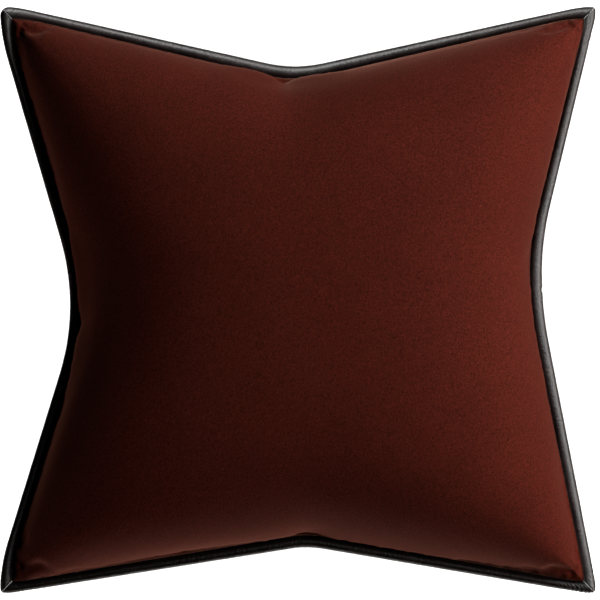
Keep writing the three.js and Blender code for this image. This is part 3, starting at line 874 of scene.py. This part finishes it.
# radius of the leather at each step and angle; angle 0 faces the velvet
def leatherRadius(side, along, angles, length, seed):
    fromEnd = np.minimum(along, length - along)
    shoulder = welt["shoulder"] * np.exp(-((fromEnd - welt["shoulderAt"]) / welt["shoulderHalf"]) ** 2)
    pinch = 1 - welt["pinch"] * np.exp(-(fromEnd / welt["pinchReach"]) ** 2) + shoulder
    swell = 1 + welt["swell"] * waves(along, seed, welt["swellLengths"])
    radius = cover["weltDiameter"] / 2 * (pinch * swell)[:, None] * np.ones((1, len(angles)))
    outside = ((1 - np.cos(angles)) / 2)[None, :]
    for atEnd, corner in enumerate(sideEnds[side]):
        reach = length - along if atEnd else along
        nearby = np.exp(-(reach / welt["roundReach"]) ** 2)[:, None]
        radius = radius * (1 - cornerRounding[corner] * outside ** 2 * nearby)
    for share, half, pitch, deep, lean in weltCreases[side]:
        drift = waves(along, seed + 9, (11, 17))[:, None]
        phase = 2 * np.pi * along[:, None] / pitch + drift + lean * (angles[None, :] - np.pi / 2) * 2
        groove = (0.5 + 0.5 * np.cos(phase)) ** 2
        nearby = np.exp(-((along - share * length) / half) ** 2)[:, None]
        radius = radius - deep * groove * nearby * np.sin(angles / 2)[None, :]
    return np.minimum(radius, cover["weltDiameter"] / 2 * welt["most"]) * welt["plump"] * mm


def weltLeather(side, material, seed):
    shares, length = weltShares(side)
    mouth = math.asin(welt["flange"] * mm / weltRadius)
    angles = np.linspace(mouth, 2 * np.pi - mouth, welt["around"])
    radius = leatherRadius(side, shares * length * 1000, angles, length * 1000, seed)
    flat, flange = np.ones((len(shares), 1)) * mm, welt["flange"]
    reach = cover["weltDiameter"] / 2 + welt["allowance"]
    insets = np.concatenate([radius * np.cos(angles)[None, :], flat * reach, flat * reach], 1)
    lifts = np.concatenate([radius * np.sin(angles)[None, :], flat * -flange, flat * flange], 1)
    outer = sweepSide(side, shares, insets, lifts)
    count = outer.shape[1]
    boreAngles = np.concatenate([angles, [2 * np.pi - mouth / 3, 2 * np.pi + mouth / 3]])
    narrow = np.minimum(radius.min(axis=1, keepdims=True) - 0.5 * mm, weltRadius - welt["wall"] * mm)
    boreX, boreZ = narrow * np.cos(boreAngles)[None, :], narrow * np.sin(boreAngles)[None, :]
    bore = sweepSide(side, shares, boreX, boreZ)
    steps = len(shares) - 1
    shift = (steps + 1) * count
    faces = [tubeFaces(steps, count), tubeFaces(steps, count, shift, flip=True)]
    for step, turned in ((0, False), (steps, True)):
        ring = step * count + np.arange(count)
        following = np.roll(ring, -1)
        cap = np.stack([following, ring, ring + shift, following + shift], -1)
        faces.append(cap[:, ::-1] if turned else cap)
    points = np.concatenate([outer.reshape(-1, 3), bore.reshape(-1, 3)])
    return turnOutward(makeObject("weltLeather_" + side, points, np.concatenate(faces), material))


cord = {
    "around": 18,
    "plies": 3,
    "lay": 12,               # length of cord in which a ply turns once
    "plyRelief": 0.08,       # share of the radius
    "room": 0.6,             # between it and the leather
    "endGap": 0.5,
}


# cotton piping cord, its plies twisted round each other
def pipingCord(side, material):
    shares, length = weltShares(side)
    short = cord["endGap"] * mm / length
    shares = np.clip(shares[::2], short, 1 - short)
    along = shares * length * 1000
    around = cord["around"]
    angles = np.linspace(0, 2 * np.pi, around, endpoint=False)
    twist = np.cos(cord["plies"] * (angles[None, :] - 2 * np.pi * along[:, None] / cord["lay"]))
    radius = (weltRadius - (welt["wall"] + cord["room"]) * mm) * (1 + cord["plyRelief"] * twist)
    points = sweepSide(side, shares, radius * np.cos(angles), radius * np.sin(angles))
    faces = tubeFaces(len(shares) - 1, around).tolist()
    faces.append(list(range(around)))
    faces.append([(len(shares) - 1) * around + i for i in range(around)])
    return turnOutward(makeObject("pipingCord_" + side, points, faces, material))


stage("leather welt and its cord")
leather = {side: glazedLeather("X" if side in ("bottom", "top") else "Y") for side in ("bottom", "right")}
leather["top"], leather["left"] = leather["bottom"], leather["right"]
cordCotton = wovenCloth("spunCottonCord", hexColour("#b8ab94"), hexColour("#e8dfcc"), 0.8, 0.95)
for number, side in enumerate(sides):
    strip = weltLeather(side, leather[side], 40 + number)
    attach(strip, "cover")
    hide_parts("welt_" + side)
    core = pipingCord(side, cordCotton)
    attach(core, "cover")
    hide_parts("welt_cord_" + side)


# the insert: two ticking panels sewn edge to edge round feather and down

insert = {
    "inset": 25,
    "clear": 2.6,            # between the crown of the cover and the crown of the ticking
    "slack": 2.0,            # how much flatter it lies than the cover everywhere else
    "ticking": 0.5,
    "seam": 0.15,            # from the middle of its seam to the ticking on either side
    "fillInset": 1.2,        # from the ticking's edge to the filling's
    "fillClear": 1.4,        # from the ticking's crown to the filling's
    "fillSeam": 0.1,
    "lumps": 1.6,            # how deep the hollows between clumps of down are
}


def insertPoints(points, inset, clear, rim):
    coarse = points[::2, ::2]
    keep = (halfX - inset * mm) / (halfX - seamInset)
    rise = coarse[..., 2] - seamZ
    highest = np.abs(rise).max()
    height = rise * (1 - clear * mm / highest)
    height = np.sign(rise) * np.maximum(np.abs(height) - insert["slack"] * mm, rim * mm)
    moved = np.concatenate([coarse[..., :2] * keep, (seamZ + height)[..., None]], -1)
    edge = rimLoop(len(coarse))
    moved.reshape(-1, 3)[edge, 2] = seamZ + np.sign(rise.mean()) * rim * mm
    return moved


def insertShell(name, points, upward, material):
    count = len(points)
    shell = makeObject(name, points, gridFaces(count, flip=upward < 0), material)
    thick = shell.modifiers.new("ticking", "SOLIDIFY")
    thick.thickness = insert["ticking"] * mm
    thick.offset = -1
    return shell


def fillingBody(name, top, bottom, material):
    count = len(top)
    slanting = waves(top[..., 0] * 1000 + top[..., 1] * 400, 71, (31, 47))
    lumps = slanting * waves(top[..., 1] * 1000, 72, (37, 59)) * insert["lumps"] * mm * crownSwell()[::2, ::2]
    still = np.zeros_like(lumps)
    pressed = np.stack([still, still, np.abs(lumps)], -1)
    top, bottom = top - pressed, bottom + pressed
    loop = rimLoop(count)
    faces = np.concatenate([gridFaces(count), gridFaces(count, flip=True) + count * count,
                            bridgeLoops(loop, loop + count * count)])
    return makeObject(name, np.concatenate([top.reshape(-1, 3), bottom.reshape(-1, 3)]), faces, material)


stage("insert")
tickingCloth = wovenCloth("denseCottonTicking", hexColour("#cbc5b6"), hexColour("#f0ece1"), 0.5, 0.9)
down = looseDown()
shellSizes = (insert["inset"], insert["clear"], insert["seam"])
tickingFront = insertShell("tickingFront", insertPoints(frontCloth, *shellSizes), 1, tickingCloth)
tickingBack = insertShell("tickingBack", insertPoints(backCloth, *shellSizes), -1, tickingCloth)
fillSizes = (insert["inset"] + insert["fillInset"], insert["clear"] + insert["fillClear"], insert["fillSeam"])
filling = fillingBody("featherFilling", insertPoints(frontCloth, *fillSizes),
                      insertPoints(backCloth, *fillSizes), down)
for piece, node, slotName in ((tickingFront, "insert_ticking_front", "ticking"),
                              (tickingBack, "insert_ticking_back", "ticking"),
                              (filling, "insert_fill", "filling")):
    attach(piece, "cover")
    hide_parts(node)


# the concealed zip

zipSizes = {
    "tape": 0.6,
    "rowSplit": 1.4,         # the gap that the coils' heads cross
    "rowWidth": 1.7,
    "thread": 0.55,          # thickness of the coil's monofilament
    "pitch": 1.3,            # from one turn of the coil to the next
    "headPast": 0.1,         # how far a coil's heads reach past the middle
    "rowGap": 0.2,           # between a coil and the edge of its tape
    "flangeReach": 4,        # of the upper tape, under the seam allowance
    "bend": 1.2,             # radius of its turn, outside and inside
    "innerBend": 1.4,
    "footStart": 1.5,        # how far above the slot's edge the lower tape turns in
    "footDrop": 6,           # how far below that edge it ends
    "footReach": 3.4,
}


def zipStrip(name, section, material, steps=150):
    angles = np.linspace(zipStart, zipEnd, steps + 1)
    points = np.stack([onZip(angles, tapeFace + reach, z) for reach, z in section], 1)
    faces = tubeFaces(steps, len(section)).tolist()
    faces.append(list(range(len(section))))
    faces.append([steps * len(section) + i for i in range(len(section))])
    return turnOutward(makeObject(name, points, faces, material, smooth=False))


# hangs from the seam: a flange under its allowance, a turn, and a straight fall to the coil
def upperTape(material):
    thick, bend, innerBend = zipSizes["tape"] * mm, zipSizes["bend"] * mm, zipSizes["innerBend"] * mm
    low = chainZ + (zipSizes["rowSplit"] / 2 + zipSizes["rowGap"]) * mm
    under = seamZ - cover["rim"] * mm
    reach = zipSizes["flangeReach"] * mm
    section = [(0, low), (0, under - bend), (bend / 4, under - bend / 4), (bend, under), (reach, under),
               (reach, under - thick), (innerBend, under - thick), (thick, under - innerBend), (thick, low)]
    return zipStrip("zipTapeUpper", section, material)


# stands up behind the back panel's edge, with its foot turned in along the panel
def lowerTape(material):
    thick, reach = zipSizes["tape"] * mm, zipSizes["footReach"] * mm
    high = chainZ - (zipSizes["rowSplit"] / 2 + zipSizes["rowGap"]) * mm
    bend = seamZ - (cover["slotDrop"] - zipSizes["footStart"]) * mm
    foot = seamZ - (cover["slotDrop"] + zipSizes["footDrop"]) * mm
    section = [(0, high), (thick, high), (thick, bend), (reach, foot), (reach - thick, foot), (0, bend)]
    return zipStrip("zipTapeLower", section, material)


# each row is one nylon thread coiled along its tape, its heads just past the middle of the zip
def coilRow(name, side, material):
    turns = int((rowEnd - rowStart) * rowFace / (zipSizes["pitch"] * mm))
    perTurn = 12
    t = np.linspace(0, turns, turns * perTurn + 1)
    angles = rowStart + (rowEnd - rowStart) * (t + (0.0 if side > 0 else 0.5)) / (turns + 0.5)
    head = -zipSizes["headPast"]
    tail = zipSizes["rowSplit"] / 2 + zipSizes["rowWidth"]
    middle, half = (head + tail) / 2, (tail - head) / 2 - zipSizes["thread"] / 2
    z = chainZ + side * (middle + half * np.cos(2 * np.pi * t)) * mm
    depth = (rowBack - rowFace) / 2 - zipSizes["thread"] / 2 * mm
    reach = (rowBack + rowFace) / 2 + depth * np.sin(2 * np.pi * t)
    path = onZip(angles, reach, z)
    curve = bpy.data.curves.new(name, "CURVE")
    curve.dimensions = "3D"
    curve.bevel_depth = zipSizes["thread"] / 2 * mm
    curve.bevel_resolution = 1
    curve.use_fill_caps = True
    line = curve.splines.new("POLY")
    line.points.add(len(path) - 1)
    line.points.foreach_set("co", np.concatenate([path, np.ones((len(path), 1))], 1).ravel())
    coil = bpy.data.objects.new(name, curve)
    bpy.context.scene.collection.objects.link(coil)
    curve.materials.append(material)
    return coil


stage("zip")
tapeCloth = wovenCloth("wovenPolyesterTape", hexColour("#2c100c"), hexColour("#54231b"), 0.6, 0.8)
nylon = coiledNylon()
zinc = platedZinc()
zipPieces = (
    (upperTape(tapeCloth), "zip_tape_upper", "zip_tape"),
    (lowerTape(tapeCloth), "zip_tape_lower", "zip_tape"),
    (coilRow("zipCoilUpper", 1, nylon), "zip_coil_upper", "zip_coil"),
    (coilRow("zipCoilLower", -1, nylon), "zip_coil_lower", "zip_coil"),
)
for piece, node, slotName in zipPieces:
    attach(piece, "cover")
    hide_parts(node)
for node in ("zip_top_stop_upper", "zip_top_stop_lower", "zip_bottom_stop"):
    stop = frame["nodes"][node]
    stop.data.materials.clear()
    stop.data.materials.append(zinc)


# the slider, in its own frame: x along the zip, y inwards, z up
slider = {
    "length": 9, "width": 7.3, "tail": 6.4,
    "tailTaper": (0.9, 0.1),        # where the plate's narrow end starts to widen, and by how much
    "waist": (1.0, 0.15),           # half length of the plate's straight middle, and the taper behind it
    "nose": (1.2, 1.3),             # the cut off corners of the wide end
    "plate": 1.0, "innerPlate": 0.8,
    "tunnel": 1.8,
    "tapeRoom": 0.35,               # between either face of the tape and the metal
    "rowClear": 2.75,               # half of the space inside the flanges
    "flange": (0.6, 1.3, 0.15),     # how far flanges stop short of the tail, the nose and the sides
    "divider": (3, 0.5, 0.4),       # from the nose to its start and end, and half its thickness
    "weld": 0.2,                    # how far joined parts run into each other
    "bridgeWide": 1.6, "bridgeThick": 0.8, "bridgeHalf": 2.1,
    "bridgeFoot": (0.5, 0.8),       # how far the feet spread outwards and inwards
    "bridgeKnee": (0.7, 0.9),       # how far the top corners lie in, outside and inside
    "bevel": 0.22,
}
puller = {
    "thick": 0.9, "root": 4.8, "tip": 6.0, "length": 20, "eyeLength": 2.75, "eyeWidth": 2.4,
    "rootCorner": (0.35, 0.5),
    "neck": (6, 0.1),               # how far down the root ends, and how much wider it is there
    "tipSteps": 12,
    "grip": ((-9, -1.5), (-16.6, -1.9), (-17.6, 0), (-16.6, 1.9), (-9, 1.5), (-8.2, 0)),
    "gripHeight": 0.18,
    "bevel": 0.25,
}


# an outline's other half, so that the two join into one loop
def mirrored(half, flipX):
    return [(-x, z) if flipX else (x, -z) for x, z in reversed(half)]


def extrudeOutline(outline, low, high, axis):
    shape = bmesh.new()
    rings = []
    for level in (low, high):
        ring = []
        for first, second in outline:
            spot = (first, level, second) if axis == "y" else (first, second, level)
            ring.append(shape.verts.new([value * mm for value in spot]))
        rings.append(ring)
    count = len(outline)
    shape.faces.new(rings[0])
    shape.faces.new(rings[1][::-1])
    for i in range(count):
        j = (i + 1) % count
        shape.faces.new((rings[0][i], rings[1][i], rings[1][j], rings[0][j]))
    bmesh.ops.recalc_face_normals(shape, faces=shape.faces)
    return shape


def box(low, high):
    outline = [(low[0], low[2]), (high[0], low[2]), (high[0], high[2]), (low[0], high[2])]
    return extrudeOutline(outline, low[1], high[1], "y")


def joinShapes(name, shapes, material, bevel):
    mesh = bpy.data.meshes.new(name)
    whole = bmesh.new()
    for shape in shapes:
        part = bpy.data.meshes.new("part")
        shape.to_mesh(part)
        shape.free()
        whole.from_mesh(part)
        bpy.data.meshes.remove(part)
    whole.to_mesh(mesh)
    whole.free()
    piece = bpy.data.objects.new(name, mesh)
    bpy.context.scene.collection.objects.link(piece)
    mesh.materials.append(material)
    soften = piece.modifiers.new("soften", "BEVEL")
    soften.width = bevel * mm
    soften.segments = 3
    soften.limit_method = "ANGLE"
    soften.harden_normals = True
    for polygon in mesh.polygons:
        polygon.use_smooth = True
    return piece


def placeOnZip(piece):
    spot = np.array(pullJoint["pos_m"])
    away = spot[:2] - zipCentre
    angle = math.atan2(away[0], away[1])
    piece.location = Vector(spot)
    piece.rotation_euler = (0, 0, -angle)


def sliderBody(material):
    plateY = slider["tunnel"] / 2
    plateIn = plateY + slider["plate"]
    tapeY = (tapeFace - math.dist(pullJoint["pos_m"][:2], zipCentre)) * 1000
    half, wide, tail = slider["length"] / 2, slider["width"] / 2, slider["tail"] / 2
    taperX, taperZ = slider["tailTaper"]
    waist, waistTaper = slider["waist"]
    noseX, noseZ = slider["nose"]
    lowerHalf = [(-half, -tail), (-half + taperX, -tail - taperZ), (-waist, -wide + waistTaper),
                 (waist, -wide), (half - noseX, -wide), (half, -wide + noseZ)]
    shoulder = lowerHalf + mirrored(lowerHalf, flipX=False)
    inner = tapeY + zipSizes["tape"] + slider["tapeRoom"]
    lip = tapeY - slider["tapeRoom"]
    clear, weld = slider["rowClear"], slider["weld"]
    post, top, foot = slider["bridgeHalf"], -plateY, plateY + weld
    footOut, footIn = slider["bridgeFoot"]
    kneeOut, kneeIn = slider["bridgeKnee"]
    outerLeg = [(-post - footOut, foot), (-post, top), (-post + kneeOut, top - slider["bridgeThick"])]
    innerLeg = [(-post + kneeIn, top), (-post + footIn, foot)]
    bridgeOutline = outerLeg + mirrored(outerLeg, flipX=True) + mirrored(innerLeg, flipX=True) + innerLeg
    fromTail, fromNose, fromSide = slider["flange"]
    start, end, thick = slider["divider"]
    shapes = [
        extrudeOutline(shoulder, plateY, plateIn, "y"),
        extrudeOutline(shoulder, inner, inner + slider["innerPlate"], "y"),
        box((-half + fromTail, plateIn - weld, clear), (half - fromNose, lip, wide - fromSide)),
        box((-half + fromTail, plateIn - weld, -wide + fromSide), (half - fromNose, lip, -clear)),
        box((half - start, plateIn - weld, -thick), (half - end, inner + weld, thick)),
        extrudeOutline(bridgeOutline, -slider["bridgeWide"] / 2, slider["bridgeWide"] / 2, "z"),
    ]
    body = joinShapes("zipSlider", shapes, material, slider["bevel"])
    placeOnZip(body)
    return body


def roundedTongue():
    bar, root, tip = puller["thick"] / 2, puller["root"] / 2, puller["tip"] / 2
    cornerX, cornerZ = puller["rootCorner"]
    neck, wider = puller["neck"]
    side = [(bar, -root + cornerZ), (bar - cornerX, -root), (-neck, -root - wider)]
    end = []
    for step in range(puller["tipSteps"] + 1):
        turn = math.pi / 2 + math.pi * step / puller["tipSteps"]
        end.append((tip - puller["length"] + tip * math.cos(turn), -tip * math.sin(turn)))
    return side + end + mirrored(side, flipX=False)


# the tongue has its eye round the bridge and a shallow raised grip
def pullerTongue(material):
    half = puller["thick"] / 2
    outline = roundedTongue()
    eyeHalf = puller["eyeWidth"] / 2
    eye = [(-half, -eyeHalf), (-half - puller["eyeLength"], -eyeHalf),
           (-half - puller["eyeLength"], eyeHalf), (-half, eyeHalf)]
    shape = bmesh.new()
    faces = []
    for level in (-half, half):
        outer = [shape.verts.new((x * mm, level * mm, z * mm)) for x, z in outline]
        hole = [shape.verts.new((x * mm, level * mm, z * mm)) for x, z in eye]
        edges = [shape.edges.new((ring[i], ring[(i + 1) % len(ring)])) for ring in (outer, hole)
                 for i in range(len(ring))]
        bmesh.ops.triangle_fill(shape, use_beauty=True, edges=edges)
        faces.append((outer, hole))
    for low, high in zip(faces[0], faces[1]):
        for i in range(len(low)):
            j = (i + 1) % len(low)
            shape.faces.new((low[i], high[i], high[j], low[j]))
    bmesh.ops.recalc_face_normals(shape, faces=shape.faces)
    bmesh.ops.dissolve_limit(shape, angle_limit=0.01, verts=shape.verts, edges=shape.edges)
    raised = extrudeOutline(puller["grip"], -half - puller["gripHeight"], half + puller["gripHeight"], "y")
    tongue = joinShapes("zipPuller", [shape, raised], material, puller["bevel"])
    placeOnZip(tongue)
    return tongue


sliderPiece = sliderBody(zinc)
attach(sliderPiece, "zip_slider")
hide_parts("zip_slider")
pullerPiece = pullerTongue(zinc)
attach(pullerPiece, "zip_puller")
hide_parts("zip_puller")


# floor, lights and camera

studio = {
    "cameraHeight": 2.4,     # above the seam
    "fieldWidth": 0.522,     # of the seam plane across the frame
    "cameraAside": 0.0018,   # the camera's own step to the right
    "floorWash": 8.0,        # of the light that only the floor sees
    "washSpread": 100,       # degrees of sky that the wash comes from
    "backdrop": 1.0,
    "floorSize": 12,
    "sensor": 36,
}

# softboxes: direction round from the right and height above the seam, both in degrees, distance,
# size, power, colour; the ones below the seam stand for light that comes back from under the pillow
softboxes = {
    "keySoftbox": (45, 30, 2.0, 0.8, 10.0, "#fffcf8"),
    "sideSoftbox": (30, 15, 2.0, 0.8, 20.5, "#fffcf8"),
    "rimSoftbox": (-12, 12, 2.0, 0.8, 7, "#ffd9c4"),
    "topSoftbox": (0, 50, 2.0, 0.8, 5.2, "#fffcf8"),
    "bounceCard": (225, -15, 2.0, 0.8, 6.5, "#ffe2d4"),
    "zipCard": (270, -22, 2.0, 0.8, 9, "#fff6ee"),
}

# the same for large softboxes that only the welt sees, for its long highlights
weltStrips = {
    "upperStrip": (114, 43, 2.0, 1.8, 104, "#ffffff"),
    "rightStrip": (-16, 41, 2.0, 1.7, 70, "#ffffff"),
    "innerStrip": (10, 48, 2.0, 1.6, 16, "#ffffff"),
    "fillStrip": (225, 60, 2.0, 2.0, 9, "#ffffff"),
}


def paleFloor():
    floorMaterial, tree, place, shader = newMaterial("paleStudioFloor")
    speck = addNode(tree, "TexNoise", {"Vector": place, "Scale": 3, "Detail": 2})
    tone = rampBetween(tree, speck.outputs["Fac"], hexColour("#f4f4f4"), hexColour("#f8f8f8"))
    tree.links.new(tone, shader.inputs["Base Color"])
    setShader(shader, Roughness=0.9, Specular_IOR_Level=0.1)
    half = studio["floorSize"] / 2
    points = [(-half, -half, 0), (half, -half, 0), (half, half, 0), (-half, half, 0)]
    floor = makeObject("studioFloor", points, [(0, 1, 2, 3)], floorMaterial)
    return floor


def softbox(name, turn, height, distance, size, power, colour):
    lamp = bpy.data.lights.new(name, "AREA")
    lamp.shape = "DISK"
    lamp.size = size
    lamp.energy = power
    lamp.color = hexColour(colour)[:3]
    holder = bpy.data.objects.new(name, lamp)
    bpy.context.scene.collection.objects.link(holder)
    turn, height = math.radians(turn), math.radians(height)
    away = Vector((math.cos(height) * math.cos(turn), math.cos(height) * math.sin(turn), math.sin(height)))
    holder.location = Vector((0, 0, seamZ)) + away * distance
    holder.rotation_euler = away.to_track_quat("Z", "Y").to_euler()
    return holder


def lightOnly(lamp, name, objects):
    receivers = bpy.data.collections.new(name)
    for item in objects:
        receivers.objects.link(item)
    lamp.light_linking.receiver_collection = receivers


stage("floor, lights and camera")
floor = paleFloor()
objectPieces = [item for item in bpy.context.scene.objects
                if item.type in ("MESH", "CURVE") and item != floor]
for name, settings in softboxes.items():
    lightOnly(softbox(name, *settings), name + "OnPillow", objectPieces)
stripPieces = {
    "upperStrip": ("weltLeather_top", "weltLeather_right"),
    "rightStrip": ("weltLeather_right",),
    "innerStrip": ("weltLeather_left",),
    "fillStrip": ("weltLeather_top", "weltLeather_right"),
}
for name, settings in weltStrips.items():
    lit = [item for item in objectPieces if item.name in stripPieces[name]]
    lightOnly(softbox(name, *settings), name + "OnWelt", lit)
# light from below passes through the floor, and the floor throws none back
floor.visible_diffuse = False
floor.visible_glossy = False
floor.visible_shadow = False
wash = bpy.data.lights.new("floorWash", "SUN")
wash.energy = studio["floorWash"]
wash.angle = math.radians(studio["washSpread"])
washHolder = bpy.data.objects.new("floorWash", wash)
bpy.context.scene.collection.objects.link(washHolder)
lightOnly(washHolder, "washOnFloor", [floor])

world = bpy.data.worlds.new("studioWorld")
world.use_nodes = True
setShader(world.node_tree.nodes["Background"], Color=hexColour("#ffffff"), Strength=studio["backdrop"])
# the pale backdrop is only seen, and lights nothing
world.cycles_visibility.diffuse = False
world.cycles_visibility.glossy = False
world.cycles_visibility.transmission = False
world.cycles_visibility.scatter = False
bpy.context.scene.world = world
bpy.context.scene.view_settings.view_transform = "Standard"

cameraData = bpy.data.cameras.new("camera")
cameraData.sensor_width = studio["sensor"]
cameraData.lens = studio["sensor"] * studio["cameraHeight"] / studio["fieldWidth"]
camera = bpy.data.objects.new("camera", cameraData)
bpy.context.scene.collection.objects.link(camera)
camera.location = (studio["cameraAside"], 0, seamZ + studio["cameraHeight"])
camera.rotation_euler = (0, 0, 0)
bpy.context.scene.camera = camera
